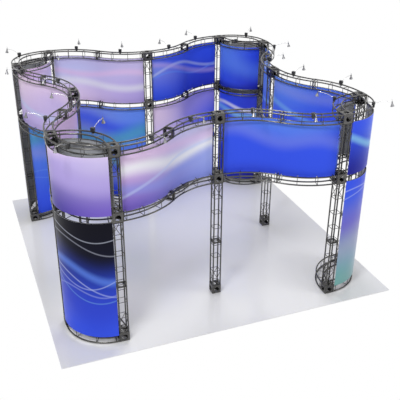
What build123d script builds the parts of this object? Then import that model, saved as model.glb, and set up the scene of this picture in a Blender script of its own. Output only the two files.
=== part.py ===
"""Free-standing exhibit frame: four lens-shaped corner towers joined by S-shaped walls.

Frame: millimetres, +Z up, origin on the floor under the centre of the square plan,
-Y is the front. The plan repeats every quarter turn and is mirrored in X and in Y.
"""
from build123d import *
from math import cos, degrees, radians, sin, sqrt
import os

os.makedirs("parts", exist_ok=True)

# Junction blocks: hollow cubes with a round opening in a raised ring on each face
BLOCK_SIZE = 174.0
BLOCK_WALL = 8.0
BLOCK_ROUNDING = 6.0
RING_HEIGHT = 3.0
RING_DIAMETER = 155.0
RING_OPENING = 96.0

# Box truss: four chord tubes flattened where rungs are welded on, and a plate on each end
CHORD_SPACING = 140.0
CHORD_DIAMETER = 25.0
CHORD_BORE = 21.0
CHORD_FLAT = 10.4
RUNG_DIAMETER = 10.0
RUNG_ROOT = 0.4
FACET_TURN = 4.0
PLATE_SIZE = 168.0
PLATE_THICKNESS = 6.0
PLATE_ROUNDING = 10.0
END_RUNG_OFFSET = 42.0

# Plan: radii of the truss centre lines
TOWER_RADIUS = 670.0
TOWER_TURN = 90.0
TOWER_BAYS = 3
SIDE_RADIUS = 1245.0
SIDE_TURN = 45.0
SIDE_BAYS = 3

# Columns: one short and one long section below the middle ring, one above it
BASE_SECTION = 900.0
BASE_SECTION_BAYS = 3
MIDDLE_SECTION = 1170.0
MIDDLE_SECTION_BAYS = 4
UPPER_SECTION = 900.0
UPPER_SECTION_BAYS = 3

# Bolts: four through each pair of mating faces, with a nut on the far side
BOLT_DIAMETER = 8.0
BOLT_HOLE_DIAMETER = 9.0
BOLT_CIRCLE = 126.0
BOLTS_PER_JOINT = 4
HEX_ACROSS_FLATS = 13.0
HEAD_HEIGHT = 5.3
NUT_HEIGHT = 6.5
BOLT_TIP = 2.0

# Graphic panels: printed sheets, one to a bay. Those of the walls and of the towers' inner
# sides hang on the truss centre line, slotted over the rungs, and the towers' outer ones lie
# against the outer chords
PANEL_THICKNESS = 3.0
PANEL_SEAT_GAP = 0.3
PANEL_END_GAP = 4.0
PANEL_REACH = 22.0
SLOT_SIDE_CLEARANCE = 2.0
SLOT_SEAT_CLEARANCE = 0.3
SLOT_LIFT_CLEARANCE = 3.0

# Light fittings, measured outwards from the truss centre line and upwards from its middle
CLAMP_LENGTH = 40.0
CLAMP_JAW = 8.0
CLAMP_BACK = 10.0
CLAMP_CLEARANCE = 0.9
SCREW_DIAMETER = 6.0
SCREW_CLEARANCE = 0.3
SCREW_DROP = 10.0
SCREW_KNOB_DIAMETER = 18.0
SCREW_KNOB_HEIGHT = 9.0
HOUSING_LENGTH = 62.0
HOUSING_DEPTH = 50.0
HOUSING_HEIGHT = 50.0
HOUSING_WALL = 3.0
HOUSING_ROUNDING = 5.0
HOUSING_LID_ROUNDING = 1.5
PIN_DIAMETER = 5.0
PIN_CLEARANCE = 0.08
EYE_DIAMETER = 18.0
EYE_WIDTH = 9.0
LUG_THICKNESS = 3.0
LUG_CLEARANCE = 0.3
SOCKET_DIAMETER = 14.0
ARM_DIAMETER = 8.0
ARM_POINTS = ((106.0, 131.0), (122.0, 131.0), (165.0, 158.0), (245.0, 180.0), (365.0, 186.0))
ARM_BENDS = (14.0, 200.0, 300.0)

# Lamp heads, along the beam from the tilt pin
HEAD_TILT = -10.0
NECK_START = 16.0
NECK_OVERLAP = 1.0
NECK_DIAMETER = 22.0
SHADE_LENGTH = 62.0
SHADE_MOUTH_DIAMETER = 64.0
SHADE_WALL = 1.6
HOLDER_THICKNESS = 8.0
LAMP_FACE_DIAMETER = 44.0
LAMP_BASE_DIAMETER = 13.0
LAMP_BASE_LENGTH = 9.0
LAMP_LENGTH = 46.0
LAMP_RIM = 4.0
HANDLE_DIAMETER = 5.0
HANDLE_LENGTH = 46.0
HANDLE_BAR_HEIGHT = 14.0

# Layout worked out from the sizes above
HALF_BLOCK = BLOCK_SIZE / 2
HALF_CHORD = CHORD_SPACING / 2
CHORD_RADIUS = CHORD_DIAMETER / 2
RUNG_RADIUS = RUNG_DIAMETER / 2
SIDE_RUN = 2 * SIDE_RADIUS * sin(radians(SIDE_TURN))
SIDE_INSET = 2 * SIDE_RADIUS * (1 - cos(radians(SIDE_TURN)))
WALL_LINE = HALF_BLOCK + SIDE_RUN + 2 * HALF_BLOCK + TOWER_RADIUS
TOWER_LINE = WALL_LINE - TOWER_RADIUS - HALF_BLOCK
MIDDLE_LINE = WALL_LINE - SIDE_INSET
BASE_Z = HALF_BLOCK
MIDDLE_Z = BLOCK_SIZE + BASE_SECTION + MIDDLE_SECTION + HALF_BLOCK
TOP_Z = MIDDLE_Z + BLOCK_SIZE + UPPER_SECTION
LEVELS = (BASE_Z, MIDDLE_Z, TOP_Z)
RINGS = tuple(zip(("base", "middle", "top"), LEVELS))
CHORD_FLAT_DEPTH = sqrt(CHORD_RADIUS**2 - (CHORD_FLAT / 2) ** 2)
RUNG_END = HALF_CHORD - CHORD_FLAT_DEPTH + RUNG_ROOT
CLAMP_TOP = HALF_CHORD + CHORD_RADIUS + CLAMP_JAW
CLAMP_BOTTOM = HALF_CHORD - CHORD_RADIUS - CLAMP_JAW
EYE_X, EYE_Z = ARM_POINTS[-1]
SOCKET_X, SOCKET_Z = ARM_POINTS[0]
OUTER_SHEET_RADIUS = TOWER_RADIUS + HALF_CHORD + CHORD_RADIUS + PANEL_SEAT_GAP + PANEL_THICKNESS / 2


def rod(start, end, diameter):
    """Round rod between two points."""
    start, end = Vector(*start), Vector(*end)
    run = end - start
    return Solid.make_cylinder(diameter / 2, run.length, Plane(origin=start, z_dir=run.normalized()))


def merged(solids):
    """Weld a list of overlapping solids into one."""
    return solids[0].fuse(*solids[1:]).solid()


def bolt_points():
    """Bolt centres on a mating face, on its diagonals."""
    step = 360 / BOLTS_PER_JOINT
    radius = BOLT_CIRCLE / 2
    angles = [radians(step * (i + 0.5)) for i in range(BOLTS_PER_JOINT)]
    return [(radius * cos(a), radius * sin(a)) for a in angles]


def junction_block():
    """Cube of plates with a raised, bored and drilled ring on all six faces."""
    inner = BLOCK_SIZE - 2 * RING_HEIGHT
    cube = Box(inner, inner, inner)
    cube = fillet(cube.edges(), BLOCK_ROUNDING)
    ring = Solid.make_cylinder(RING_DIAMETER / 2, BLOCK_SIZE, Plane((0, 0, -HALF_BLOCK)))
    bore = Solid.make_cylinder(RING_OPENING / 2, BLOCK_SIZE, Plane((0, 0, -HALF_BLOCK)))
    drills = [
        Solid.make_cylinder(BOLT_HOLE_DIAMETER / 2, BLOCK_SIZE, Plane((x, y, -HALF_BLOCK)))
        for x, y in bolt_points()
    ]
    turns = [Location((0, 0, 0)), Location((0, 0, 0), (90, 0, 0)), Location((0, 0, 0), (0, 90, 0))]
    cavity = Solid.make_box(
        inner - 2 * BLOCK_WALL, inner - 2 * BLOCK_WALL, inner - 2 * BLOCK_WALL
    ).moved(Location((-(inner / 2 - BLOCK_WALL),) * 3))
    body = cube.solid().fuse(*[ring.moved(t) for t in turns]).solid()
    cutters = [cavity] + [tool.moved(t) for t in turns for tool in [bore] + drills]
    return body.cut(*cutters).solid()


def end_plate():
    """Square plate in the XY plane, its outer face at z = 0, with the ring's opening and holes."""
    plate = Box(PLATE_SIZE, PLATE_SIZE, PLATE_THICKNESS, align=(Align.CENTER, Align.CENTER, Align.MIN))
    plate = fillet(plate.edges().filter_by(Axis.Z), PLATE_ROUNDING)
    holes = [Solid.make_cylinder(RING_OPENING / 2, PLATE_THICKNESS)]
    for x, y in bolt_points():
        holes.append(Solid.make_cylinder(BOLT_HOLE_DIAMETER / 2, PLATE_THICKNESS, Plane((x, y, 0))))
    return plate.solid().cut(*holes).solid()


def rung_loop():
    """Four rungs in the XY plane that run from flat to flat of the chords."""
    s, e = HALF_CHORD, RUNG_END
    return [
        rod((-e, -s, 0), (e, -s, 0), RUNG_DIAMETER),
        rod((s, -e, 0), (s, e, 0), RUNG_DIAMETER),
        rod((-e, s, 0), (e, s, 0), RUNG_DIAMETER),
        rod((-s, -e, 0), (-s, e, 0), RUNG_DIAMETER),
    ]


def chord_corners():
    """Signs of the four chords across and up the section."""
    return [(-1, -1), (1, -1), (1, 1), (-1, 1)]


def chord_profile(i, j):
    """Outline of one chord about its own centre: round, with a flat towards each neighbour."""
    half, depth, slant = CHORD_FLAT / 2, CHORD_FLAT_DEPTH, CHORD_RADIUS * sin(radians(45))

    def point(x, y):
        return (i * x, j * y)

    outline = [
        Line(point(-depth, half), point(-depth, -half)),
        ThreePointArc(point(-depth, -half), point(-slant, -slant), point(-half, -depth)),
        Line(point(-half, -depth), point(half, -depth)),
        ThreePointArc(point(half, -depth), point(slant, slant), point(-depth, half)),
    ]
    return make_face(Curve() + outline).face()


def rung_stations(length, bays):
    """Distances along a section at which it has rungs: near both ends and between its bays."""
    inner = [length * i / bays for i in range(1, bays)]
    return [PLATE_THICKNESS + END_RUNG_OFFSET] + inner + [length - PLATE_THICKNESS - END_RUNG_OFFSET]


def straight_section(length, bays, braced_at_top):
    """Column section on the Z axis from z = 0, with a diagonal brace on each side of one end bay."""
    s = HALF_CHORD
    pieces = []
    for i, j in chord_corners():
        chord = extrude(chord_profile(i, j), amount=length, dir=(0, 0, 1)).solid()
        pieces.append(chord.moved(Location((i * s, j * s, 0))))
    pieces.append(end_plate())
    pieces.append(end_plate().moved(Location((0, 0, length), (180, 0, 0))))
    stations = rung_stations(length, bays)
    for z in stations:
        pieces += [rung.moved(Location((0, 0, z))) for rung in rung_loop()]
    low, high = stations[-2:] if braced_at_top else stations[:2]
    corners = [(i * s, j * s) for i, j in chord_corners()]
    for (x0, y0), (x1, y1) in zip(corners, corners[1:] + corners[:1]):
        pieces.append(rod((x0, y0, high), (x1, y1, low), RUNG_DIAMETER))
    bore_length = length - 2 * PLATE_THICKNESS
    bores = [
        Solid.make_cylinder(CHORD_BORE / 2, bore_length, Plane((x, y, PLATE_THICKNESS))) for x, y in corners
    ]
    return merged(pieces).cut(*bores).solid()


def across(angle, radius):
    """Frame on an arc about the Z axis: its Z along the arc, its X outwards and its Y up."""
    a = radians(angle)
    return Plane(
        origin=(radius * cos(a), radius * sin(a), 0),
        x_dir=(cos(a), sin(a), 0),
        z_dir=(sin(a), -cos(a), 0),
    ).location


def curved_stations(radius, turn, bays):
    """Angles along an arc at which it has rungs."""
    length = radius * radians(turn)
    return [turn * distance / length for distance in rung_stations(length, bays)]


def facet_corners(radius, turn, bays):
    """Angles at which a bent chord turns a corner: both ends, every rung and between the rungs."""
    stops = [0] + curved_stations(radius, turn, bays) + [turn]
    corners = [0]
    for first, last in zip(stops, stops[1:]):
        count = max(1, round((last - first) / FACET_TURN))
        corners += [first + (last - first) * k / count for k in range(1, count + 1)]
    return corners


def bent_tube(outline, height, radius, angles):
    """Chain of straight lengths of one outline, from corner to corner of an arc about the Z axis."""
    places = [across(angle, radius) * Location((0, height, 0)) for angle in angles]
    return Solid.make_loft([outline.moved(place) for place in places], ruled=True)


def curved_section(radius, turn, bays):
    """Box truss bent to an arc about the Z axis, from the X axis to the given turn."""
    corners = facet_corners(radius, turn, bays)
    closed = degrees(PLATE_THICKNESS / radius)
    bore_corners = [closed] + corners[1:-1] + [turn - closed]
    bore_outline = Wire.make_circle(CHORD_BORE / 2)
    pieces = []
    bores = []
    for i, j in chord_corners():
        bend, height = radius + i * HALF_CHORD, j * HALF_CHORD
        pieces.append(bent_tube(chord_profile(i, j).outer_wire(), height, bend, corners))
        bores.append(bent_tube(bore_outline, height, bend, bore_corners))
    pieces.append(end_plate().moved(across(0, radius) * Location((0, 0, 0), (180, 0, 0))))
    pieces.append(end_plate().moved(across(turn, radius)))
    for angle in curved_stations(radius, turn, bays):
        pieces += [rung.moved(across(angle, radius)) for rung in rung_loop()]
    return merged(pieces).cut(*bores).solid()


def quarter_turns():
    """The four equal quarters of the plan."""
    return [Location((0, 0, 0), (0, 0, 90 * i)) for i in range(4)]


def side_arcs():
    """(centre x, centre y, start angle) of the front wall's four arcs, outer pair first."""
    far_x, far_y = TOWER_LINE - HALF_BLOCK, -WALL_LINE + SIDE_RADIUS
    step_x = 2 * SIDE_RADIUS * sin(radians(SIDE_TURN))
    step_y = 2 * SIDE_RADIUS * cos(radians(SIDE_TURN))
    return [
        (-far_x, far_y, -90),
        (far_x, far_y, -90 - SIDE_TURN),
        (-far_x + step_x, far_y - step_y, 90),
        (far_x - step_x, far_y - step_y, 90 - SIDE_TURN),
    ]


def side_places(level):
    """Places of a wall arc that starts on the X axis, wall by wall, four to a wall."""
    return [
        quarter * Location((x, y, level), (0, 0, start))
        for quarter in quarter_turns()
        for x, y, start in side_arcs()
    ]


def outer_places(level):
    """Places of a tower's outer arc, one to a tower."""
    middle = -(WALL_LINE - TOWER_RADIUS)
    return [quarter * Location((middle, middle, level), (0, 0, 180)) for quarter in quarter_turns()]


def inner_places(level):
    """Places of a tower's inner arc, one to a tower."""
    middle = -(WALL_LINE - HALF_BLOCK)
    return [quarter * Location((middle, middle, level)) for quarter in quarter_turns()]


def column_places(level):
    """Places of the twelve columns: a pair to each tower and one in the middle of each wall."""
    spots = [(-TOWER_LINE, -WALL_LINE), (0, -MIDDLE_LINE), (TOWER_LINE, -WALL_LINE)]
    return [quarter * Location((x, y, level)) for quarter in quarter_turns() for x, y in spots]


def arc_face(radius, first, last, thickness):
    """Flat curved strip about the origin between two angles."""
    middle = (first + last) / 2

    def point(r, angle):
        return (r * cos(radians(angle)), r * sin(radians(angle)))

    inside, outside = radius - thickness / 2, radius + thickness / 2
    outline = [
        ThreePointArc(point(outside, first), point(outside, middle), point(outside, last)),
        Line(point(outside, last), point(inside, last)),
        ThreePointArc(point(inside, last), point(inside, middle), point(inside, first)),
        Line(point(inside, first), point(outside, first)),
    ]
    return make_face(Curve() + outline).face()


def panel_heights(lower_level, upper_level):
    """Lowest and highest edge of a panel that hangs between two rings."""
    return lower_level + HALF_CHORD - PANEL_REACH, upper_level - HALF_CHORD + PANEL_REACH


def slot_cutters(place, width, lower_level, upper_level, low_top, high_bottom):
    """Slots in a panel's lower and upper edge at one place along it."""
    low, high = panel_heights(lower_level, upper_level)
    depth = CHORD_SPACING - CHORD_DIAMETER
    cutters = []
    for bottom, top in ((low - RUNG_DIAMETER, low_top), (high_bottom, high + RUNG_DIAMETER)):
        block = Solid.make_box(depth, top - bottom, width).moved(Location((-depth / 2, bottom, -width / 2)))
        cutters.append(block.moved(place))
    return cutters


def rung_slots(place, lower_level, upper_level):
    """Slots over the rungs: seated on the lower ring's, clear of the upper ring's."""
    width = RUNG_DIAMETER + 2 * SLOT_SIDE_CLEARANCE
    low_top = lower_level + HALF_CHORD + RUNG_RADIUS + SLOT_SEAT_CLEARANCE
    high_bottom = upper_level - HALF_CHORD - RUNG_RADIUS - SLOT_LIFT_CLEARANCE
    return slot_cutters(place, width, lower_level, upper_level, low_top, high_bottom)


def sheet_edges(radius, turn, bays, trimmed_at_end):
    """Angles of the sheets' edges along an arc: clear of the end plates, and at its inner rungs."""
    skipped = degrees((PLATE_THICKNESS + PANEL_END_GAP) / radius)
    inner = [turn * i / bays for i in range(1, bays)]
    return [skipped] + inner + [turn - skipped if trimmed_at_end else turn]


def hung_sheets(radius, edges, low, high, cutters):
    """Curved sheets side by side about the Z axis, with the slots cut out."""
    sheets = []
    for first, last in zip(edges, edges[1:]):
        strip = arc_face(radius, first, last, PANEL_THICKNESS)
        sheet = extrude(strip, amount=high - low).solid().moved(Location((0, 0, low)))
        sheets.append(sheet.cut(*cutters).solid() if cutters else sheet)
    return sheets


def wall_panel(lower_level, upper_level):
    """S-shaped row of sheets of the front wall's left half."""
    low, high = panel_heights(lower_level, upper_level)
    cutters = []
    for angle in curved_stations(SIDE_RADIUS, SIDE_TURN, SIDE_BAYS):
        cutters += rung_slots(across(angle, SIDE_RADIUS), lower_level, upper_level)
    splice = across(SIDE_TURN, SIDE_RADIUS)
    width = 2 * PLATE_THICKNESS + 2 * SLOT_SIDE_CLEARANCE
    reach = PLATE_SIZE / 2 + SLOT_LIFT_CLEARANCE
    cutters += slot_cutters(splice, width, lower_level, upper_level, lower_level + reach, upper_level - reach)
    edges = sheet_edges(SIDE_RADIUS, SIDE_TURN, SIDE_BAYS, False)
    sheets = hung_sheets(SIDE_RADIUS, edges, low, high, cutters)
    places = [Location((x, y, 0), (0, 0, start)) for x, y, start in (side_arcs()[0], side_arcs()[2])]
    return [sheet.moved(place) for place in places for sheet in sheets]


def inner_tower_panel(lower_level, upper_level):
    """Quarter-round row of slotted sheets about the Z axis, from the X axis."""
    low, high = panel_heights(lower_level, upper_level)
    cutters = []
    for angle in curved_stations(TOWER_RADIUS, TOWER_TURN, TOWER_BAYS):
        cutters += rung_slots(across(angle, TOWER_RADIUS), lower_level, upper_level)
    edges = sheet_edges(TOWER_RADIUS, TOWER_TURN, TOWER_BAYS, True)
    return hung_sheets(TOWER_RADIUS, edges, low, high, cutters)


def outer_tower_panel(lower_level, upper_level):
    """Quarter-round row of sheets outside the chords, up to the gap between a ring's chords."""
    lap = HALF_CHORD - CHORD_RADIUS
    edges = sheet_edges(TOWER_RADIUS, TOWER_TURN, TOWER_BAYS, True)
    return hung_sheets(OUTER_SHEET_RADIUS, edges, lower_level + lap, upper_level - lap, [])


def hexagon_prism(height):
    """Hexagonal prism on the XY plane."""
    return extrude(RegularPolygon(HEX_ACROSS_FLATS / 2, 6, major_radius=False), amount=height).solid()


def bolt(grip):
    """Hexagon bolt along Z with its nut; the clamped faces lie at z = 0 and z = grip."""
    head = hexagon_prism(HEAD_HEIGHT).moved(Location((0, 0, -HEAD_HEIGHT)))
    nut = hexagon_prism(NUT_HEIGHT).moved(Location((0, 0, grip)))
    shank = Solid.make_cylinder(BOLT_DIAMETER / 2, grip + NUT_HEIGHT + BOLT_TIP)
    return merged([shank, head, nut])


def joint_bolts(kind, face):
    """Four copies of a bolt round a mating face, given as a place with Z into the second piece."""
    return [kind.moved(face * Location((x, y, -PLATE_THICKNESS))) for x, y in bolt_points()]


def flipped():
    """Half turn that points a mating face's Z the other way."""
    return Location((0, 0, 0), (180, 0, 0))


def block_bolt():
    """Bolt through an end plate and a block's ringed wall."""
    return bolt(PLATE_THICKNESS + RING_HEIGHT + BLOCK_WALL)


def splice_bolt():
    """Bolt through two end plates."""
    return bolt(2 * PLATE_THICKNESS)


def wall_bolts():
    """Bolts of the wall trusses: to the blocks, and between the two halves of an S."""
    to_block, to_truss = block_bolt(), splice_bolt()
    bolts = []
    for level in LEVELS:
        for i, place in enumerate(side_places(level)):
            if level == BASE_Z and i // 4 != 2:
                continue
            near_end = place * across(0, SIDE_RADIUS)
            far_end = place * across(SIDE_TURN, SIDE_RADIUS) * flipped()
            starts_at_block = i % 4 in (0, 2)
            block_end, splice_end = (near_end, far_end) if starts_at_block else (far_end, near_end)
            bolts += joint_bolts(to_block, block_end)
            if i % 4 < 2:
                bolts += joint_bolts(to_truss, splice_end)
    return bolts


def tower_bolts():
    """Bolts of the tower trusses to the blocks."""
    kind = block_bolt()
    bolts = []
    for level in LEVELS:
        for place in outer_places(level) + inner_places(level):
            bolts += joint_bolts(kind, place * across(0, TOWER_RADIUS))
            bolts += joint_bolts(kind, place * across(TOWER_TURN, TOWER_RADIUS) * flipped())
    return bolts


def column_bolts():
    """Bolts of the column sections: to the blocks, and between the two lower sections."""
    to_block, to_section = block_bolt(), splice_bolt()
    up, down = Location((0, 0, 0)), flipped()
    ends = (
        (BLOCK_SIZE, down),
        (MIDDLE_Z - HALF_BLOCK, up),
        (MIDDLE_Z + HALF_BLOCK, down),
        (TOP_Z - HALF_BLOCK, up),
    )
    bolts = []
    for place in column_places(0):
        for height, turn in ends:
            bolts += joint_bolts(to_block, place * Location((0, 0, height)) * turn)
        bolts += joint_bolts(to_section, place * Location((0, 0, BLOCK_SIZE + BASE_SECTION)))
    return bolts


def light_places():
    """Middle of every arc of the top ring: a place with X pointing the way the light reaches out."""
    side_middle = SIDE_TURN / 2
    tower_middle = TOWER_TURN / 2
    places = []
    for i, place in enumerate(side_places(TOP_Z)):
        bulges_out = i % 4 < 2
        turn = Location((0, 0, 0), (0, 0, side_middle))
        if bulges_out:
            places.append(place * turn * Location((SIDE_RADIUS, 0, 0)))
        else:
            places.append(place * turn * Location((SIDE_RADIUS, 0, 0), (0, 0, 180)))
    for place in outer_places(TOP_Z) + inner_places(TOP_Z):
        places.append(place * Location((0, 0, 0), (0, 0, tower_middle)) * Location((TOWER_RADIUS, 0, 0)))
    return places


def light_clamp():
    """C-shaped clamp round the outer top chord, open towards the middle of the truss."""
    inside = HALF_CHORD - CHORD_RADIUS
    outside = HALF_CHORD + CHORD_RADIUS + CLAMP_BACK
    body = Solid.make_box(outside - inside, CLAMP_LENGTH, CLAMP_TOP - CLAMP_BOTTOM)
    body = body.moved(Location((inside, -CLAMP_LENGTH / 2, CLAMP_BOTTOM)))
    bore_radius = CHORD_RADIUS + CLAMP_CLEARANCE
    along = Plane(origin=(HALF_CHORD, -CLAMP_LENGTH / 2, HALF_CHORD), z_dir=(0, 1, 0))
    bore = Solid.make_cylinder(bore_radius, CLAMP_LENGTH, along)
    mouth = Solid.make_box(HALF_CHORD - inside, CLAMP_LENGTH, 2 * bore_radius)
    mouth = mouth.moved(Location((inside, -CLAMP_LENGTH / 2, HALF_CHORD - bore_radius)))
    thread = Solid.make_cylinder(
        SCREW_DIAMETER / 2 + SCREW_CLEARANCE, CLAMP_JAW + CHORD_RADIUS, Plane((HALF_CHORD, 0, CLAMP_BOTTOM))
    )
    return body.cut(bore, mouth, thread).solid()


def clamp_screw():
    """Thumb screw through the lower jaw, its tip on the chord."""
    tip = HALF_CHORD - CHORD_FLAT_DEPTH
    knob_top = CLAMP_BOTTOM - SCREW_DROP
    shank = rod((HALF_CHORD, 0, knob_top), (HALF_CHORD, 0, tip), SCREW_DIAMETER)
    knob = rod((HALF_CHORD, 0, knob_top - SCREW_KNOB_HEIGHT), (HALF_CHORD, 0, knob_top), SCREW_KNOB_DIAMETER)
    return merged([shank, knob])


def transformer_housing():
    """Closed box on the clamp with a round socket for the arm on its outer face."""
    box = Box(HOUSING_DEPTH, HOUSING_LENGTH, HOUSING_HEIGHT, align=(Align.CENTER, Align.CENTER, Align.MIN))
    box = fillet(box.edges().filter_by(Axis.Z), HOUSING_ROUNDING)
    box = fillet(box.faces().sort_by(Axis.Z)[-1].edges(), HOUSING_LID_ROUNDING).solid()
    cavity = Solid.make_box(
        HOUSING_DEPTH - 2 * HOUSING_WALL, HOUSING_LENGTH - 2 * HOUSING_WALL, HOUSING_HEIGHT - 2 * HOUSING_WALL
    ).moved(Location((HOUSING_WALL - HOUSING_DEPTH / 2, HOUSING_WALL - HOUSING_LENGTH / 2, HOUSING_WALL)))
    shell = box.cut(cavity).solid().moved(Location((HALF_CHORD, 0, CLAMP_TOP)))
    root = HALF_CHORD + HOUSING_DEPTH / 2 - HOUSING_WALL / 2
    socket = rod((root, 0, SOCKET_Z), (SOCKET_X, 0, SOCKET_Z), SOCKET_DIAMETER)
    return merged([shell, socket])


def lamp_arm():
    """Bent rod from the housing's socket to the eye that carries the lamp head."""
    path = FilletPolyline(*[(x, 0, z) for x, z in ARM_POINTS], radius=list(ARM_BENDS))
    start = Plane(origin=(SOCKET_X, 0, SOCKET_Z), z_dir=(1, 0, 0))
    tube = sweep(start * Circle(ARM_DIAMETER / 2), path=path).solid()
    left, right = (EYE_X, -EYE_WIDTH / 2, EYE_Z), (EYE_X, EYE_WIDTH / 2, EYE_Z)
    body = tube.fuse(rod(left, right, EYE_DIAMETER)).solid()
    return body.cut(rod(left, right, PIN_DIAMETER + 2 * PIN_CLEARANCE)).solid()


def head_place():
    """Place of a lamp head on its tilt pin: its own -Z is the way the beam goes."""
    return Location((EYE_X, 0, EYE_Z), (0, HEAD_TILT, 0))


def lamp_shade():
    """Bell-shaped shade with its fork, tilt pin and the aiming handle above it."""
    top = -NECK_START
    neck, mouth = NECK_DIAMETER / 2, SHADE_MOUTH_DIAMETER / 2
    bottom = top - SHADE_LENGTH
    waist = top - HOLDER_THICKNESS
    outline = Polyline(
        (0, top), (neck, top), (neck, waist), (mouth, bottom), (mouth - SHADE_WALL, bottom),
        (neck - SHADE_WALL, waist), (0, waist), close=True,
    )
    pieces = [revolve(Plane.XZ * make_face(outline), axis=Axis.Z).solid()]
    gap = EYE_WIDTH / 2 + LUG_CLEARANCE
    reach = gap + LUG_THICKNESS
    drop = NECK_START + NECK_OVERLAP
    for y in (-reach, gap):
        web = Solid.make_box(EYE_DIAMETER, LUG_THICKNESS, drop)
        pieces.append(web.moved(Location((-EYE_DIAMETER / 2, y, -drop))))
        pieces.append(rod((0, y, 0), (0, y + LUG_THICKNESS, 0), EYE_DIAMETER))
        strap = Solid.make_box(HANDLE_DIAMETER, LUG_THICKNESS, HANDLE_BAR_HEIGHT)
        pieces.append(strap.moved(Location((-HANDLE_DIAMETER / 2, y, 0))))
    pieces.append(rod((0, -reach, 0), (0, reach, 0), PIN_DIAMETER))
    bar = HANDLE_BAR_HEIGHT
    pieces.append(rod((0, -reach, bar), (0, reach, bar), HANDLE_DIAMETER))
    pieces.append(rod((0, 0, bar), (0, 0, HANDLE_LENGTH), HANDLE_DIAMETER))
    return merged(pieces)


def lamp_bulb():
    """Reflector lamp in the shade, its base on the socket."""
    top = -NECK_START - HOLDER_THICKNESS
    base, rim = LAMP_BASE_DIAMETER / 2, LAMP_FACE_DIAMETER / 2
    outline = Polyline(
        (0, top), (base, top), (base, top - LAMP_BASE_LENGTH), (rim, top - LAMP_LENGTH + LAMP_RIM),
        (rim, top - LAMP_LENGTH), (0, top - LAMP_LENGTH), close=True,
    )
    return revolve(Plane.XZ * make_face(outline), axis=Axis.Z).solid()


def save(name, solids):
    """Write one node's solids to its own file."""
    shape = solids[0] if len(solids) == 1 else Compound(children=solids)
    export_step(shape, f"parts/{name}.step")


def save_frame():
    """Junction blocks, columns, trusses and bolts."""
    block = junction_block()
    for name, level in RINGS:
        save(f"junction_blocks_{name}", [block.moved(p) for p in column_places(level)])
    base_section = straight_section(BASE_SECTION, BASE_SECTION_BAYS, False)
    middle_section = straight_section(MIDDLE_SECTION, MIDDLE_SECTION_BAYS, True)
    upper_section = straight_section(UPPER_SECTION, UPPER_SECTION_BAYS, True)
    save("base_columns", [base_section.moved(p) for p in column_places(BLOCK_SIZE)])
    save("middle_columns", [middle_section.moved(p) for p in column_places(BLOCK_SIZE + BASE_SECTION)])
    save("upper_columns", [upper_section.moved(p) for p in column_places(MIDDLE_Z + HALF_BLOCK)])

    side = curved_section(SIDE_RADIUS, SIDE_TURN, SIDE_BAYS)
    tower = curved_section(TOWER_RADIUS, TOWER_TURN, TOWER_BAYS)
    for name, level in RINGS:
        places = side_places(level)[8:12] if level == BASE_Z else side_places(level)
        outer = [p for i, p in enumerate(places) if i % 4 < 2]
        inner = [p for i, p in enumerate(places) if i % 4 >= 2]
        save(f"wall_outer_trusses_{name}", [side.moved(p) for p in outer])
        save(f"wall_inner_trusses_{name}", [side.moved(p) for p in inner])
        save(f"tower_outer_trusses_{name}", [tower.moved(p) for p in outer_places(level)])
        save(f"tower_inner_trusses_{name}", [tower.moved(p) for p in inner_places(level)])
    save("wall_bolts", wall_bolts())
    save("tower_bolts", tower_bolts())
    save("column_bolts", column_bolts())


def save_panels():
    """Printed sheets of the walls and of the towers."""
    upper_half = wall_panel(MIDDLE_Z, TOP_Z)
    lower_half = wall_panel(BASE_Z, MIDDLE_Z)
    upper_wall = upper_half + [sheet.mirror(Plane.YZ) for sheet in upper_half]
    lower_wall = lower_half + [sheet.mirror(Plane.YZ) for sheet in lower_half]
    back = quarter_turns()[2]
    save("upper_wall_panels", [sheet.moved(quarter) for quarter in quarter_turns() for sheet in upper_wall])
    save("lower_wall_panels", [sheet.moved(back) for sheet in lower_wall])
    for name, lower_level, upper_level, inner in (
        ("upper", MIDDLE_Z, TOP_Z, inner_places(0)),
        ("lower", BASE_Z, MIDDLE_Z, inner_places(0)[2:]),
    ):
        sheets = outer_tower_panel(lower_level, upper_level)
        save(f"{name}_tower_outer_panels", [sheet.moved(p) for p in outer_places(0) for sheet in sheets])
        sheets = inner_tower_panel(lower_level, upper_level)
        save(f"{name}_tower_inner_panels", [sheet.moved(p) for p in inner for sheet in sheets])


def save_lights():
    """Light fittings, with each movable head in a file of its own."""
    places = light_places()
    clamp, screw, housing, arm = light_clamp(), clamp_screw(), transformer_housing(), lamp_arm()
    save("light_clamps", [clamp.moved(p) for p in places])
    save("clamp_screws", [screw.moved(p) for p in places])
    save("transformer_housings", [housing.moved(p) for p in places])
    save("lamp_arms", [arm.moved(p) for p in places])
    shade, bulb = lamp_shade(), lamp_bulb()
    for i, place in enumerate(places, start=1):
        head = place * head_place()
        save(f"lamp_head_{i:02d}", [shade.moved(head), bulb.moved(head)])


save_frame()
save_panels()
save_lights()
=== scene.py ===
import bmesh
import bpy
from math import cos, degrees, pi, radians, sin
from mathutils import Matrix, Vector


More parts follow.
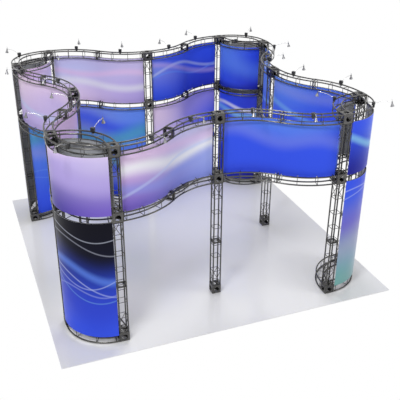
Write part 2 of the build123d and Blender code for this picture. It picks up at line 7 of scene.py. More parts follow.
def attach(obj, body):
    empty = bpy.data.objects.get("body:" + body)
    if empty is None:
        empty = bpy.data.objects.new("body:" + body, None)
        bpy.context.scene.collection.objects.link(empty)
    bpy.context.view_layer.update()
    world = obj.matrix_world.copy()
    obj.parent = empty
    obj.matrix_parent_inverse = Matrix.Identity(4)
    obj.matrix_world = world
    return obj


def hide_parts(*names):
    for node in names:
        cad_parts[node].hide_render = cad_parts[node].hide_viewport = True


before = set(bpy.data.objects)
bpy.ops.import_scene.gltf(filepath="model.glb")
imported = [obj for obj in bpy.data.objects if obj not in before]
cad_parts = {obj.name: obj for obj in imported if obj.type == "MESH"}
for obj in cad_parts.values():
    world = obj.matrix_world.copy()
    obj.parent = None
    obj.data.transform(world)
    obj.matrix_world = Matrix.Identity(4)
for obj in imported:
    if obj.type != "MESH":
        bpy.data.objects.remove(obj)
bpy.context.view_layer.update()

# Sizes that the pieces here share with the solids, in metres
BLOCK = 0.174
CHORD = 0.140
CHORD_TUBE = 0.025
SIDE_R = 1.245
SIDE_TURN = 45.0
TOWER_R = 0.670
TOWER_TURN = 90.0
TOWER_SHEET_R = TOWER_R + (CHORD + CHORD_TUBE) / 2 + 0.0018
PLATE = 0.006
PLATE_SIDE = 0.168
SHEET = 0.003
SHEET_END = PLATE + 0.004
SHEET_REACH = 0.022
RUNG = 0.010
MIDDLE_Z = 2.331
TOP_Z = 3.405
BASE_Z = 0.087

SIDE_RUN = 2 * SIDE_R * sin(radians(SIDE_TURN))
WALL_LINE = BLOCK / 2 + SIDE_RUN + BLOCK + TOWER_R
TOWER_LINE = WALL_LINE - TOWER_R - BLOCK / 2


# Camera at the photograph's place
CAMERA_PLACE = Vector((-3.9684, -11.4134, 7.2090))
CAMERA_FORWARD = Vector((0.3206, 0.8276, -0.4608))
CAMERA_LEVEL = Vector((0.9325, -0.3613, 0.0))
CAMERA_ROLL = radians(0.370)
LENS = 60.35
SENSOR = 36.0


def look(place, forward, right, lens):
    """Camera at a place, given the way it looks and its right-hand side."""
    data = bpy.data.cameras.new("camera")
    data.sensor_width = SENSOR
    data.lens = lens
    data.clip_start, data.clip_end = 0.1, 200.0
    cam = bpy.data.objects.new("camera", data)
    bpy.context.scene.collection.objects.link(cam)
    back = -forward.normalized()
    side = (right - back * right.dot(back)).normalized()
    up = back.cross(side)
    turn = Matrix((side, up, back)).transposed().to_4x4()
    cam.matrix_world = Matrix.Translation(place) @ turn
    bpy.context.scene.camera = cam


camera_up = CAMERA_LEVEL.cross(CAMERA_FORWARD)
camera_right = CAMERA_LEVEL * cos(CAMERA_ROLL) + camera_up * sin(CAMERA_ROLL)
look(CAMERA_PLACE, CAMERA_FORWARD, camera_right, LENS)


# Shader helpers

def node_material(name):
    """New node material, with its tree and its shader."""
    mat = bpy.data.materials.new(name)
    mat.use_nodes = True
    tree = mat.node_tree
    shader = tree.nodes["Principled BSDF"]
    return mat, tree, shader


def add(tree, kind, **values):
    """New shader node with some of its settings."""
    node = tree.nodes.new(kind)
    for key, value in values.items():
        setattr(node, key, value)
    return node


def math(tree, operation, a, b=None, c=None):
    """Sum, product or the like of numbers and sockets."""
    node = add(tree, "ShaderNodeMath", operation=operation)
    for socket, value in zip(node.inputs, (a, b, c)):
        if value is None:
            continue
        if isinstance(value, (int, float)):
            socket.default_value = value
        else:
            tree.links.new(value, socket)
    return node.outputs[0]


def mix(tree, factor, a, b):
    """Blend of two colours."""
    node = add(tree, "ShaderNodeMix", data_type="RGBA")
    for socket, value in ((node.inputs[0], factor), (node.inputs[6], a), (node.inputs[7], b)):
        if isinstance(value, (int, float)):
            socket.default_value = value
        elif isinstance(value, (tuple, list)):
            socket.default_value = (*value[:3], 1.0)
        else:
            tree.links.new(value, socket)
    return node.outputs[2]


def noise(tree, scale, detail=3.0, rough=0.5):
    """Noise in the piece's own coordinates, from 0 to 1."""
    coord = add(tree, "ShaderNodeTexCoord")
    texture = add(tree, "ShaderNodeTexNoise")
    texture.inputs["Scale"].default_value = scale
    texture.inputs["Detail"].default_value = detail
    texture.inputs["Roughness"].default_value = rough
    tree.links.new(coord.outputs["Object"], texture.inputs["Vector"])
    return texture.outputs["Fac"]


def spread(tree, value, low, high, to_low, to_high):
    """A value's range from low to high, stretched to another range."""
    node = add(tree, "ShaderNodeMapRange")
    for i, v in enumerate((low, high, to_low, to_high), start=1):
        node.inputs[i].default_value = v
    tree.links.new(value, node.inputs[0])
    return node.outputs[0]


def bump(tree, shader, height, strength, distance):
    """Relief on a shader's surface."""
    node = add(tree, "ShaderNodeBump")
    node.inputs["Strength"].default_value = strength
    node.inputs["Distance"].default_value = distance
    tree.links.new(height, node.inputs["Height"])
    tree.links.new(node.outputs[0], shader.inputs["Normal"])


def metal(name, colour, worn, rough, grain=60.0):
    """Metal that varies between two colours."""
    mat, tree, shader = node_material(name)
    large = noise(tree, 2.3, 3.0)
    fine = noise(tree, grain, 4.0, 0.6)
    tint = spread(tree, large, 0.3, 0.7, 0.0, 1.0)
    tree.links.new(mix(tree, tint, colour, worn), shader.inputs["Base Color"])
    tree.links.new(spread(tree, fine, 0.25, 0.75, rough - 0.05, rough + 0.07), shader.inputs["Roughness"])
    shader.inputs["Metallic"].default_value = 1.0
    bump(tree, shader, fine, 0.12, 0.0006)
    return mat


def plastic(name, colour, worn, rough, grain=300.0, relief=0.2):
    """Plastic or paint that varies between two colours."""
    mat, tree, shader = node_material(name)
    large = noise(tree, 9.0, 2.0)
    fine = noise(tree, grain, 3.0, 0.6)
    tint = spread(tree, large, 0.35, 0.65, 0.0, 1.0)
    tree.links.new(mix(tree, tint, colour, worn), shader.inputs["Base Color"])
    tree.links.new(spread(tree, fine, 0.3, 0.7, rough - 0.06, rough + 0.08), shader.inputs["Roughness"])
    bump(tree, shader, fine, relief, 0.0003)
    return mat


TRUSS = metal("truss_pewter", (0.070, 0.069, 0.067), (0.125, 0.122, 0.118), 0.22)
BLOCKS = metal("block_pewter", (0.090, 0.088, 0.086), (0.150, 0.147, 0.143), 0.26)
BOLTS = metal("zinc_bolts", (0.42, 0.42, 0.43), (0.56, 0.55, 0.52), 0.32, grain=220.0)
ARMS = metal("arm_silver", (0.55, 0.55, 0.56), (0.68, 0.68, 0.68), 0.22, grain=180.0)
SHADES = metal("shade_grey", (0.20, 0.20, 0.21), (0.30, 0.30, 0.31), 0.30, grain=180.0)
CLAMPS = plastic("clamp_black", (0.012, 0.012, 0.013), (0.022, 0.022, 0.023), 0.38)
HOUSINGS = plastic("housing_black", (0.014, 0.014, 0.016), (0.025, 0.025, 0.027), 0.42, relief=0.35)


def lamp_face():
    """Pale lamp, a little lit."""
    mat, tree, shader = node_material("lamp_glass")
    fine = noise(tree, 90.0, 2.0)
    colour = mix(tree, spread(tree, fine, 0.3, 0.7, 0.0, 1.0), (0.92, 0.90, 0.84), (0.98, 0.97, 0.94))
    tree.links.new(colour, shader.inputs["Base Color"])
    tree.links.new(colour, shader.inputs["Emission Color"])
    shader.inputs["Emission Strength"].default_value = 0.6
    shader.inputs["Roughness"].default_value = 0.18
    return mat


LAMPS = lamp_face()


# Materials of the solids that stay

def dress(node, mat):
    """Give every slot of a node's mesh one material."""
    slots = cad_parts[node].material_slots
    for slot in slots:
        slot.material = mat


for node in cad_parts:
    if "trusses" in node or "columns" in node:
        dress(node, TRUSS)
    elif node.startswith("junction_blocks"):
        dress(node, BLOCKS)
    elif node.endswith("_bolts"):
        dress(node, BOLTS)
dress("light_clamps", CLAMPS)
dress("clamp_screws", BOLTS)
dress("transformer_housings", HOUSINGS)
dress("lamp_arms", ARMS)
HEADS = sorted(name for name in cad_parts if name.startswith("lamp_head_"))


def islands(mesh):
    """Index of the connected part that each vertex is in."""
    parent = list(range(len(mesh.vertices)))

    def root(i):
        while parent[i] != i:
            parent[i] = parent[parent[i]]
            i = parent[i]
        return i

    places = {}
    for v in mesh.vertices:
        key = tuple(round(c * 1e5) for c in v.co)
        if key in places:
            parent[root(v.index)] = root(places[key])
        else:
            places[key] = v.index
    for e in mesh.edges:
        a, b = e.vertices
        parent[root(a)] = root(b)
    return [root(i) for i in range(len(parent))]


def dress_head(name):
    """Grey shade and pale lamp: the lamp is the smaller of the node's two connected parts."""
    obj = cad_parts[name]
    mesh = obj.data
    mesh.materials.clear()
    mesh.materials.append(SHADES)
    mesh.materials.append(LAMPS)
    of_vertex = islands(mesh)
    extents = {}
    for v in mesh.vertices:
        low, high = extents.setdefault(of_vertex[v.index], [v.co.copy(), v.co.copy()])
        for k in range(3):
            low[k] = min(low[k], v.co[k])
            high[k] = max(high[k], v.co[k])
    lamp = min(extents, key=lambda k: (extents[k][1] - extents[k][0]).length)
    for face in mesh.polygons:
        face.material_index = 1 if of_vertex[face.vertices[0]] == lamp else 0


for head in HEADS:
    dress_head(head)


# Printed panels
PRINT_SHEEN = 0.12


def art(name, corners, bands, rough=0.34):
    """Soft print: four corner colours, then wavy bands over them.

    A band is (height, swing, waves, phase, slope, width, colour, strength, kind), where kind is
    "line" for a ribbon along the wave and "above" or "below" for the whole side of it.
    """
    mat, tree, shader = node_material(name)
    uv = add(tree, "ShaderNodeUVMap", uv_map="print")
    parts = add(tree, "ShaderNodeSeparateXYZ")
    tree.links.new(uv.outputs[0], parts.inputs[0])
    u, v = parts.outputs[0], parts.outputs[1]
    smooth_u = spread_smooth(tree, u, 0.0, 1.0)
    smooth_v = spread_smooth(tree, v, 0.0, 1.0)
    low = mix(tree, smooth_u, corners[0], corners[1])
    high = mix(tree, smooth_u, corners[2], corners[3])
    colour = mix(tree, smooth_v, low, high)
    for height, swing, waves, phase, slope, width, tint, strength, kind in bands:
        wave = math(tree, "SINE", math(tree, "MULTIPLY_ADD", u, waves * 2 * pi, phase))
        line = math(tree, "MULTIPLY_ADD", wave, swing, math(tree, "MULTIPLY_ADD", u, slope, height))
        away = math(tree, "SUBTRACT", v, line)
        if kind == "line":
            near = math(tree, "ABSOLUTE", away)
            factor = spread_smooth(tree, near, width, 0.0)
        elif kind == "above":
            factor = spread_smooth(tree, away, 0.0, width)
        else:
            factor = spread_smooth(tree, away, 0.0, -width)
        colour = mix(tree, math(tree, "MULTIPLY", factor, strength), colour, tint)
    grain = noise(tree, 900.0, 2.0)
    colour = mix(tree, spread(tree, grain, 0.3, 0.7, 0.0, 0.035), colour, (0.0, 0.0, 0.0))
    tree.links.new(colour, shader.inputs["Base Color"])
    shader.inputs["Specular IOR Level"].default_value = PRINT_SHEEN
    cloud = noise(tree, 7.0, 3.0)
    tree.links.new(spread(tree, cloud, 0.3, 0.7, rough - 0.04, rough + 0.06), shader.inputs["Roughness"])
    bump(tree, shader, grain, 0.05, 0.0002)
    return mat


def spread_smooth(tree, value, low, high):
    """Smooth step from 0 at low to 1 at high."""
    node = add(tree, "ShaderNodeMapRange", interpolation_type="SMOOTHSTEP")
    flipped = low > high
    node.inputs[1].default_value = high if flipped else low
    node.inputs[2].default_value = low if flipped else high
    node.inputs[3].default_value = 1.0 if flipped else 0.0
    node.inputs[4].default_value = 0.0 if flipped else 1.0
    tree.links.new(value, node.inputs[0])
    return node.outputs[0]


def back_with_painted_shade():
    """Unprinted back of a sheet, in a grey that is partly its own tone and partly painted shade from
    inside the towers.
    """
    mat, tree, shader = node_material("panel_back_painted_shade")
    fine = noise(tree, 500.0, 2.0)
    large = noise(tree, 1.2, 2.0)
    # Painted shade: the back's light grey is darkened here for the shade inside the towers, on top of its
    # own pale tone.
    tree.links.new(
        mix(tree, spread(tree, large, 0.3, 0.7, 0.0, 1.0), (0.40, 0.41, 0.44), (0.50, 0.51, 0.54)),
        shader.inputs["Base Color"],
    )
    tree.links.new(spread(tree, fine, 0.3, 0.7, 0.40, 0.50), shader.inputs["Roughness"])
    bump(tree, shader, fine, 0.08, 0.0002)
    return mat


BACK_WITH_PAINTED_SHADE = back_with_painted_shade()
RIM = plastic("panel_edge", (0.55, 0.56, 0.60), (0.62, 0.63, 0.67), 0.45)

PINK = (0.86, 0.62, 0.92)
ROSE = (0.93, 0.74, 0.95)
LAVENDER = (0.52, 0.42, 0.86)
LILAC = (0.66, 0.58, 0.90)
WHITE = (0.95, 0.96, 1.0)
PALE = (0.58, 0.67, 0.99)
PERI = (0.28, 0.34, 0.86)
BLUE = (0.040, 0.10, 0.90)
ROYAL = (0.030, 0.050, 0.62)
DEEP = (0.012, 0.015, 0.30)
BLACK = (0.002, 0.002, 0.008)
SKY = (0.14, 0.30, 0.97)
CYAN = (0.32, 0.72, 0.95)
TEAL = (0.10, 0.42, 0.62)
INDIGO = (0.07, 0.05, 0.36)
VIOLET = (0.20, 0.13, 0.60)
GREY = (0.42, 0.44, 0.55)
MIST = (0.62, 0.66, 0.80)
GREEN = (0.20, 0.44, 0.42)


def levels_between(lower, upper, outside):
    """Edges of a sheet: past the chords' middle on the centre line, or just across them outside."""
    reach = CHORD_TUBE / 2 if outside else SHEET_REACH
    return lower + CHORD / 2 - reach, upper - CHORD / 2 + reach


def stations(radius, turn, bays):
    """Angles along an arc at which its truss has rungs."""
    length = radius * radians(turn)
    ends = PLATE + 0.042
    inner = [length * i / bays for i in range(1, bays)]
    return [turn * s / length for s in [ends] + inner + [length - ends]]


def arc_track(centre, radius, first, last, outward, slots, splice=None):
    """An arc of a sheet: its centre, radius, first and last angle, outward sign, the angles of its slots
    and of its splice.
    """
    return dict(
        centre=centre, radius=radius, first=first, last=last, outward=outward, slots=slots, splice=splice
    )


# Neighbour of a grid cell across each of its edges, and that edge's two corners
EDGES = (((0, -1), (0, 1)), ((1, 0), (1, 2)), ((0, 1), (2, 3)), ((-1, 0), (3, 0)))


def sheet(name, tracks, lower, upper, front, back, turned=False):
    """Curved printed sheet with slots over the rungs, closed, 3 mm thick."""
    low, high = levels_between(lower, upper, not tracks[0]["slots"])
    seat = lower + CHORD / 2 + RUNG / 2 + 0.0003
    lift = upper - CHORD / 2 - RUNG / 2 - 0.003
    splice_low = lower + PLATE_SIDE / 2 + 0.003
    splice_high = upper - PLATE_SIDE / 2 - 0.003
    rows = [low, seat, splice_low, splice_high, lift, high]
    columns = []
    for track in tracks:
        cx, cy = track["centre"]
        r, first, last = track["radius"], track["first"], track["last"]
        marks = {}
        half = degrees((RUNG / 2 + 0.002) / r)
        for a in track["slots"]:
            marks[round(a - half, 6)] = None
            marks[round(a + half, 6)] = None
        wide = degrees((PLATE + 0.002) / r)
        if track["splice"] is not None:
            sign = 1 if track["splice"] < (first + last) / 2 else -1
            marks[round(track["splice"] + sign * wide, 6)] = None
        steps = max(2, int(round(abs(last - first) / 1.25)))
        grid = [first + (last - first) * i / steps for i in range(steps + 1)]
        near = [a for a in grid if all(abs(a - m) > 0.25 for m in marks) or a in (first, last)]
        angles = sorted(set(near) | set(marks), reverse=last < first)
        for a in angles:
            n = Vector((cos(radians(a)), sin(radians(a)), 0.0)) * track["outward"]
            p = Vector((cx + r * cos(radians(a)), cy + r * sin(radians(a)), 0.0))
            in_slot = any(abs(a - s) < half + 1e-4 for s in track["slots"])
            in_splice = track["splice"] is not None and abs(a - track["splice"]) < wide + 1e-4
            columns.append((p, n, a, id(track), in_slot, in_splice))
    merged = []
    for c in columns:
        if merged and (merged[-1][0] - c[0]).length < 1e-5:
            continue
        merged.append(c)
    columns = merged
    run = [0.0]
    for a, b in zip(columns, columns[1:]):
        run.append(run[-1] + (b[0] - a[0]).length)
    total = run[-1]
    bm = bmesh.new()
    uv = bm.loops.layers.uv.new("print")
    verts = {}

    def vert(i, j, side):
        key = (i, j, side)
        if key not in verts:
            p, n = columns[i][0], columns[i][1]
            q = p + n * (SHEET / 2 * side)
            verts[key] = bm.verts.new((q.x, q.y, rows[j]))
        return verts[key]

    def solid(i, j):
        if not (0 <= i < len(columns) - 1 and 0 <= j < len(rows) - 1):
            return False
        gap = (columns[i + 1][0] - columns[i][0]).length
        both_slot = columns[i][4] and columns[i + 1][4] and gap < 0.03
        both_splice = columns[i][5] and columns[i + 1][5]
        if both_slot and j in (0, len(rows) - 2):
            return False
        if both_splice and j in (0, 1, len(rows) - 3, len(rows) - 2):
            return False
        return True

    def paint(face, i_s):
        for loop, (i, j) in zip(face.loops, i_s):
            s = run[i] / total
            loop[uv].uv = (1 - s if turned else s, (rows[j] - low) / (high - low))

    for i in range(len(columns) - 1):
        for j in range(len(rows) - 1):
            if not solid(i, j):
                continue
            ring = [(i, j), (i + 1, j), (i + 1, j + 1), (i, j + 1)]
            f = bm.faces.new([vert(a, b, 1) for a, b in ring])
            paint(f, ring)
            f.material_index = 0
            g = bm.faces.new([vert(a, b, -1) for a, b in reversed(ring)])
            paint(g, list(reversed(ring)))
            g.material_index = 1
            for (da, db), (e0, e1) in EDGES:
                if solid(i + da, j + db):
                    continue
                a0, a1 = ring[e0], ring[e1]
                h = bm.faces.new([vert(*a1, 1), vert(*a0, 1), vert(*a0, -1), vert(*a1, -1)])
                paint(h, [a1, a0, a0, a1])
                h.material_index = 2
    bmesh.ops.recalc_face_normals(bm, faces=bm.faces)
    for f in bm.faces:
        f.smooth = True
    for e in bm.edges:
        if len({f.material_index for f in e.link_faces}) > 1 or (
            len(e.link_faces) == 2 and e.link_faces[0].material_index == 2 and e.calc_face_angle(0.0) > 0.6
        ):
            e.smooth = False
    mesh = bpy.data.meshes.new(name)
    bm.to_mesh(mesh)
    bm.free()
    for mat in (front, back, RIM):
        mesh.materials.append(mat)
    obj = bpy.data.objects.new(name, mesh)
    bpy.context.scene.collection.objects.link(obj)
    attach(obj, "frame")
    return obj


def turned_point(quarter, x, y):
    """Point of the plan after some quarter turns."""
    a = radians(90 * quarter)
    return (cos(a) * x - sin(a) * y, sin(a) * x + cos(a) * y)


def wall_tracks(quarter, half):
    """Tracks of one half wall, from left to right as seen from outside the exhibit."""
    fx, fy = TOWER_LINE - BLOCK / 2, -WALL_LINE + SIDE_R
    step = 2 * SIDE_R * sin(radians(SIDE_TURN))
    skip = degrees(SHEET_END / SIDE_R)
    marks = stations(SIDE_R, SIDE_TURN, 3)
    outer = turned_point(quarter, -fx, fy)
    inner = turned_point(quarter, -fx + step, fy - step)
    q = 90 * quarter
    if half == "left":
        return [
            arc_track(outer, SIDE_R, q - 90 + skip, q - 45, 1, [q - 90 + m for m in marks], q - 45),
            arc_track(inner, SIDE_R, q + 135, q + 90 + skip, -1, [q + 90 + m for m in marks], q + 135),
        ]
    outer = turned_point(quarter, fx, fy)
    inner = turned_point(quarter, fx - step, fy - step)
    return [
        arc_track(inner, SIDE_R, q + 90 - skip, q + 45, -1, [q + 90 - m for m in marks], q + 45),
        arc_track(outer, SIDE_R, q - 135, q - 90 - skip, 1, [q - 90 - m for m in marks], q - 135),
    ]


def tower_track(quarter, kind):
    """Track of a tower's outer or inner sheet."""
    skip = degrees(SHEET_END / TOWER_R)
    marks = stations(TOWER_R, TOWER_TURN, 3)
    if kind == "outer":
        c = -(WALL_LINE - TOWER_R)
        start = 180 + 90 * quarter
    else:
        c = -(WALL_LINE - BLOCK / 2)
        start = 90 * quarter
    centre = turned_point(quarter, c, c)
    if kind == "outer":
        return [arc_track(centre, TOWER_SHEET_R, start + skip, start + 90 - skip, 1, [])]
    return [arc_track(centre, TOWER_R, start + skip, start + 90 - skip, 1, [start + m for m in marks])]


WALL_ART = {
    "front_left_upper": art("print_front_left", (VIOLET, PERI, PINK, PALE), [
        (0.48, 0.16, 0.55, 0.3, 0.10, 0.50, LILAC, 0.7, "above"),
        (0.60, 0.12, 0.80, 1.2, 0.05, 0.22, WHITE, 0.85, "line"),
        (0.30, 0.10, 0.70, 2.4, 0.15, 0.16, PERI, 0.55, "line"),
        (0.86, 0.05, 1.10, 0.0, -0.10, 0.18, PINK, 0.6, "line"),
        (0.20, 0.06, 0.60, 0.6, 0.55, 0.05, PALE, 0.5, "line"),
    ]),
    "front_right_upper": art("print_front_right", (BLUE, BLUE, BLUE, BLUE), [
        (0.66, 0.14, 0.75, 2.2, -0.05, 0.40, SKY, 0.70, "above"),
        (0.42, 0.16, 0.90, 3.4, 0.00, 0.30, BLUE, 0.60, "line"),
        (0.20, 0.08, 0.60, 0.9, 0.05, 0.35, ROYAL, 0.60, "below"),
        (0.78, 0.08, 1.30, 1.0, -0.20, 0.22, PERI, 0.35, "line"),
    ]),
    "right_upper_a": art("print_right_a", (BLUE, BLUE, SKY, BLUE), [
        (0.55, 0.14, 0.60, 0.0, 0.10, 0.40, SKY, 0.45, "above"),
        (0.36, 0.18, 0.55, 2.0, 0.0, 0.10, CYAN, 0.35, "line"),
        (0.75, 0.07, 0.90, 1.4, 0.15, 0.20, PERI, 0.5, "line"),
    ]),
    "right_upper_b": art("print_right_b", (BLUE, BLUE, SKY, SKY), [
        (0.48, 0.16, 0.65, 1.5, 0.0, 0.40, SKY, 0.5, "above"),
        (0.40, 0.12, 0.75, 0.4, 0.1, 0.07, CYAN, 0.45, "line"),
    ]),
    "back_left_upper": art("print_back_b", (ROSE, LAVENDER, PALE, LILAC), [
        (0.50, 0.12, 0.65, 0.4, 0.10, 0.35, LILAC, 0.7, "above"),
        (0.36, 0.12, 0.50, 1.8, 0.12, 0.14, WHITE, 0.6, "line"),
        (0.72, 0.08, 0.90, 3.0, -0.10, 0.12, PINK, 0.65, "line"),
    ]),
    "back_right_upper": art("print_back_a", (BLUE, ROYAL, PERI, BLUE), [
        (0.55, 0.22, 0.55, 2.6, 0.0, 0.45, BLUE, 0.85, "above"),
        (0.50, 0.20, 0.70, 0.3, 0.20, 0.06, PALE, 0.55, "line"),
        (0.38, 0.18, 0.80, 0.8, 0.25, 0.04, SKY, 0.6, "line"),
        (0.66, 0.16, 0.60, 1.4, -0.15, 0.10, LAVENDER, 0.55, "line"),
    ]),
    "back_left_lower": art("print_back_d", (ROYAL, BLUE, PERI, SKY), [
        (0.84, 0.05, 0.80, 0.6, -0.06, 0.14, BLUE, 0.8, "line"),
        (0.64, 0.06, 0.90, 2.0, 0.05, 0.16, TEAL, 0.8, "line"),
        (0.48, 0.06, 0.70, 1.0, -0.06, 0.08, GREEN, 0.7, "line"),
        (0.24, 0.08, 0.60, 2.4, 0.10, 0.14, PERI, 0.6, "line"),
    ]),
    "back_right_lower": art("print_back_c", (BLUE, ROYAL, ROSE, BLUE), [
        (0.72, 0.16, 0.55, 2.2, 0.0, 0.40, LAVENDER, 0.6, "above"),
        (0.42, 0.14, 0.75, 0.2, 0.10, 0.08, SKY, 0.6, "line"),
        (0.30, 0.12, 0.85, 0.9, 0.05, 0.04, PALE, 0.5, "line"),
    ]),
    "left_upper_a": art("print_left_a", (BLUE, LAVENDER, PINK, ROSE), [
        (0.50, 0.14, 0.60, 2.8, 0.0, 0.35, PINK, 0.7, "above"),
        (0.40, 0.12, 0.70, 1.2, 0.10, 0.12, WHITE, 0.55, "line"),
        (0.22, 0.10, 0.60, 0.4, 0.05, 0.25, PERI, 0.6, "below"),
    ]),
    "left_upper_b": art("print_left_b", (LAVENDER, LILAC, ROSE, LAVENDER), [
        (0.56, 0.12, 0.55, 0.8, 0.0, 0.35, ROSE, 0.6, "above"),
        (0.34, 0.14, 0.65, 2.2, 0.15, 0.10, PALE, 0.6, "line"),
    ]),
}
TOWER_ART = {
    ("outer", 0, "upper"): art("print_tower_0", (INDIGO, VIOLET, LAVENDER, LILAC), [
        (0.84, 0.08, 0.55, 5.0, -0.05, 0.34, ROSE, 0.85, "above"),
        (0.52, 0.09, 0.60, 1.0, 0.10, 0.30, LAVENDER, 0.6, "line"),
        (0.30, 0.05, 0.50, 2.4, -0.32, 0.40, INDIGO, 0.90, "below"),
    ]),
    ("outer", 0, "lower"): art("print_tower_1", (BLUE, BLUE, BLACK, BLACK), [
        (0.64, 0.05, 0.65, 1.5, -0.10, 0.22, BLACK, 0.95, "above"),
        (0.60, 0.05, 0.70, 0.4, -0.06, 0.06, SKY, 0.55, "line"),
        (0.52, 0.06, 0.60, 0.9, -0.10, 0.012, PALE, 0.5, "line"),
        (0.46, 0.05, 0.75, 1.6, 0.04, 0.010, PALE, 0.45, "line"),
        (0.42, 0.07, 0.55, 2.2, -0.05, 0.010, CYAN, 0.4, "line"),
        (0.37, 0.05, 0.80, 0.2, 0.05, 0.012, PALE, 0.35, "line"),
        (0.84, 0.04, 0.70, 0.5, -0.08, 0.010, GREY, 0.5, "line"),
        (0.90, 0.03, 0.80, 1.1, -0.04, 0.008, MIST, 0.5, "line"),
        (0.28, 0.08, 0.55, 1.9, 0.04, 0.25, ROYAL, 0.45, "line"),
    ]),
    ("outer", 1, "upper"): art("print_tower_2", (DEEP, ROYAL, BLUE, SKY), [
        (0.56, 0.10, 0.60, 0.8, 0.0, 0.45, BLUE, 0.7, "above"),
        (0.66, 0.08, 0.70, 2.4, -0.25, 0.12, CYAN, 0.6, "line"),
    ]),
    ("outer", 1, "lower"): art("print_tower_3", (GREEN, GREY, BLUE, ROYAL), [
        (0.52, 0.06, 0.50, 1.2, 0.0, 0.30, VIOLET, 0.7, "line"),
        (0.34, 0.05, 0.60, 0.2, 0.0, 0.26, GREY, 0.6, "line"),
        (0.88, 0.03, 0.70, 1.0, 0.05, 0.010, PALE, 0.5, "line"),
        (0.83, 0.03, 0.60, 0.2, 0.04, 0.010, PALE, 0.4, "line"),
        (0.12, 0.04, 0.50, 2.0, 0.0, 0.20, GREEN, 0.6, "below"),
    ]),
    ("outer", 2, "upper"): art("print_tower_4", (BLUE, ROYAL, SKY, BLUE), [
        (0.5, 0.1, 0.6, 1.0, 0.0, 0.3, SKY, 0.5, "above"),
        (0.4, 0.1, 0.7, 2.0, 0.1, 0.05, CYAN, 0.5, "line"),
    ]),
    ("outer", 2, "lower"): art("print_tower_5", (DEEP, ROYAL, BLUE, SKY), [
        (0.6, 0.06, 0.6, 1.4, 0.0, 0.2, SKY, 0.5, "line"),
        (0.3, 0.06, 0.6, 0.4, 0.0, 0.05, CYAN, 0.4, "line"),
    ]),
    ("outer", 3, "upper"): art("print_tower_6", (LAVENDER, PINK, BLUE, PERI), [
        (0.55, 0.10, 0.60, 2.2, 0.0, 0.35, PINK, 0.6, "line"),
        (0.80, 0.05, 0.70, 0.6, 0.0, 0.25, BLUE, 0.6, "above"),
    ]),
    ("outer", 3, "lower"): art("print_tower_7", (BLUE, PERI, TEAL, SKY), [
        (0.62, 0.05, 0.70, 0.7, 0.0, 0.18, TEAL, 0.7, "line"),
        (0.40, 0.05, 0.60, 2.0, 0.0, 0.10, PERI, 0.6, "line"),
        (0.24, 0.04, 0.80, 1.0, 0.0, 0.03, SKY, 0.6, "line"),
    ]),
    ("inner", 0, "upper"): art("print_tower_8", (LAVENDER, PERI, LILAC, PALE), [
        (0.5, 0.1, 0.6, 1.0, 0.0, 0.3, LILAC, 0.6, "above"),
        (0.4, 0.08, 0.7, 2.0, 0.1, 0.08, WHITE, 0.5, "line"),
    ]),
    ("inner", 1, "upper"): art("print_tower_9", (BLUE, SKY, SKY, PALE), [
        (0.5, 0.1, 0.6, 2.0, 0.0, 0.3, SKY, 0.6, "above"),
        (0.45, 0.08, 0.7, 0.4, 0.1, 0.06, CYAN, 0.5, "line"),
    ]),
    ("inner", 2, "upper"): art("print_tower_10", (BLUE, ROYAL, SKY, BLUE), [
        (0.55, 0.10, 0.55, 1.2, 0.0, 0.35, SKY, 0.55, "line"),
        (0.22, 0.05, 0.60, 2.6, 0.0, 0.20, DEEP, 0.6, "below"),
    ]),
    ("inner", 2, "lower"): art("print_tower_11", (ROYAL, DEEP, BLUE, ROYAL), [
        (0.84, 0.04, 0.70, 0.8, 0.0, 0.035, WHITE, 0.7, "line"),
        (0.78, 0.04, 0.60, 1.6, 0.0, 0.06, CYAN, 0.6, "line"),
        (0.50, 0.06, 0.60, 0.2, 0.0, 0.20, PERI, 0.5, "line"),
    ]),
    ("inner", 3, "upper"): art("print_tower_12", (LAVENDER, LILAC, PINK, PALE), [
        (0.55, 0.10, 0.60, 0.4, 0.0, 0.35, PINK, 0.5, "above"),
        (0.35, 0.08, 0.70, 1.8, 0.1, 0.08, PALE, 0.6, "line"),
    ]),
    ("inner", 3, "lower"): art("print_tower_13", (BLUE, BLUE, SKY, TEAL), [
        (0.80, 0.04, 0.70, 0.2, 0.0, 0.16, TEAL, 0.7, "line"),
        (0.62, 0.05, 0.60, 1.6, 0.0, 0.12, PERI, 0.6, "line"),
        (0.44, 0.03, 0.90, 0.9, 0.0, 0.012, SKY, 0.6, "line"),
        (0.38, 0.03, 0.80, 2.0, 0.0, 0.012, SKY, 0.5, "line"),
    ]),
}

SIDES = ("front", "right", "back", "left")
WALL_NAMES = {
    (0, "left"): "front_left", (0, "right"): "front_right",
    (1, "left"): "right_a", (1, "right"): "right_b",
    (2, "left"): "back_right", (2, "right"): "back_left",
    (3, "left"): "left_b", (3, "right"): "left_a",
}


def wall_art(quarter, half, level):
    """Print of a half wall, above or below the middle ring."""
    name = WALL_NAMES[(quarter, half)]
    side = name.split("_")
    key = f"{name}_{level}" if side[0] in ("front", "back") else f"{side[0]}_{level}_{side[1]}"
    return WALL_ART[key]


for quarter, side in enumerate(SIDES):
    for half in ("left", "right"):
        for level, lower, upper in (("upper", MIDDLE_Z, TOP_Z), ("lower", BASE_Z, MIDDLE_Z)):
            if level == "lower" and side != "back":
                continue
            printed = wall_art(quarter, half, level)
            tracks = wall_tracks(quarter, half)
            sheet(f"wall_panel_{side}_{half}_{level}", tracks, lower, upper, printed, printed,
                               turned=side in ("back", "right"))
for level in ("upper", "lower"):
    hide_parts(f"{level}_wall_panels")

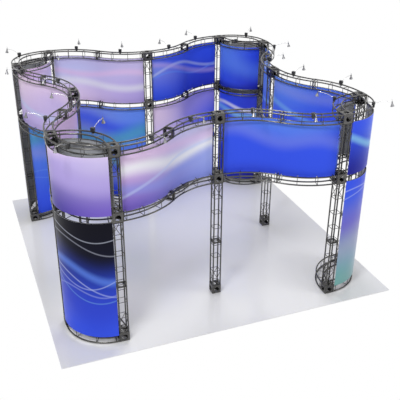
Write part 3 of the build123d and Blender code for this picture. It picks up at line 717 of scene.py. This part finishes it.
for quarter in range(4):
    for kind in ("outer", "inner"):
        for level, lower, upper in (("upper", MIDDLE_Z, TOP_Z), ("lower", BASE_Z, MIDDLE_Z)):
            if (kind, quarter, level) not in TOWER_ART:
                continue
            printed = TOWER_ART[(kind, quarter, level)]
            tracks = tower_track(quarter, kind)
            name = f"tower_panel_{kind}_{quarter}_{level}"
            sheet(name, tracks, lower, upper, printed, BACK_WITH_PAINTED_SHADE)
for level in ("upper", "lower"):
    for kind in ("outer", "inner"):
        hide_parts(f"{level}_tower_{kind}_panels")


# Floor, lights and world

def stage_floor():
    """Glossy pale floor sheet on a white ground, as stage."""
    mat, tree, shader = node_material("floor_sheet")
    large = noise(tree, 0.25, 2.0)
    colour = mix(tree, spread(tree, large, 0.35, 0.65, 0.0, 1.0), (0.80, 0.80, 0.81), (0.84, 0.84, 0.85))
    tree.links.new(colour, shader.inputs["Base Color"])
    shader.inputs["Roughness"].default_value = 0.12
    shader.inputs["Specular IOR Level"].default_value = 0.5
    bm = bmesh.new()
    half, thick = 3.048, 0.012
    bmesh.ops.create_cube(bm, size=1.0, matrix=Matrix.LocRotScale(
        Vector((0.0007, -0.0273, -thick / 2)), None, Vector((2 * half, 2 * half, thick))))
    mesh = bpy.data.meshes.new("floor_sheet")
    bm.to_mesh(mesh)
    bm.free()
    mesh.materials.append(mat)
    sheet_obj = bpy.data.objects.new("floor_sheet", mesh)
    bpy.context.scene.collection.objects.link(sheet_obj)

    ground, tree, shader = node_material("ground_white")
    path = add(tree, "ShaderNodeLightPath")
    seen = math(tree, "MAXIMUM", path.outputs["Is Camera Ray"],
                math(tree, "MAXIMUM", path.outputs["Is Glossy Ray"], path.outputs["Is Transmission Ray"]))
    glow = add(tree, "ShaderNodeEmission")
    glow.inputs[0].default_value = (1, 1, 1, 1)
    glow.inputs[1].default_value = 1.0
    blend = add(tree, "ShaderNodeMixShader")
    shader.inputs["Base Color"].default_value = (0.9, 0.9, 0.9, 1)
    shader.inputs["Roughness"].default_value = 0.9
    tree.links.new(seen, blend.inputs[0])
    tree.links.new(shader.outputs[0], blend.inputs[1])
    tree.links.new(glow.outputs[0], blend.inputs[2])
    tree.links.new(blend.outputs[0], tree.nodes["Material Output"].inputs[0])
    bm = bmesh.new()
    bmesh.ops.create_circle(bm, cap_ends=True, segments=64, radius=40.0,
                            matrix=Matrix.Translation((0, 0, -thick - 0.001)))
    mesh = bpy.data.meshes.new("ground_white")
    bm.to_mesh(mesh)
    bm.free()
    mesh.materials.append(ground)
    ground_obj = bpy.data.objects.new("ground_white", mesh)
    bpy.context.scene.collection.objects.link(ground_obj)


stage_floor()


def area(name, place, target, size, power):
    """Round area light."""
    data = bpy.data.lights.new(name, "AREA")
    data.shape = "DISK"
    data.size = size
    data.energy = power
    lamp = bpy.data.objects.new(name, data)
    bpy.context.scene.collection.objects.link(lamp)
    lamp.location = place
    lamp.rotation_mode = "QUATERNION"
    lamp.rotation_quaternion = (Vector(target) - Vector(place)).to_track_quat("-Z", "Y")


area("key", (-6.0, -7.0, 11.0), (0, 0, 1.2), 3.0, 620)
area("top", (2.0, 3.0, 12.0), (0, 0, 1.0), 4.0, 420)
area("fill", (9.0, -8.0, 5.0), (0, 0, 1.5), 5.0, 240)

world = bpy.data.worlds.new("studio")
bpy.context.scene.world = world
world.use_nodes = True
tree = world.node_tree
back = tree.nodes["Background"]
path = add(tree, "ShaderNodeLightPath")
seen = math(tree, "MAXIMUM", path.outputs["Is Camera Ray"],
            math(tree, "MAXIMUM", path.outputs["Is Glossy Ray"], path.outputs["Is Transmission Ray"]))
tree.links.new(spread(tree, seen, 0.0, 1.0, 0.45, 1.0), back.inputs[1])
back.inputs[0].default_value = (1, 1, 1, 1)

bpy.context.scene.view_settings.view_transform = "Standard"
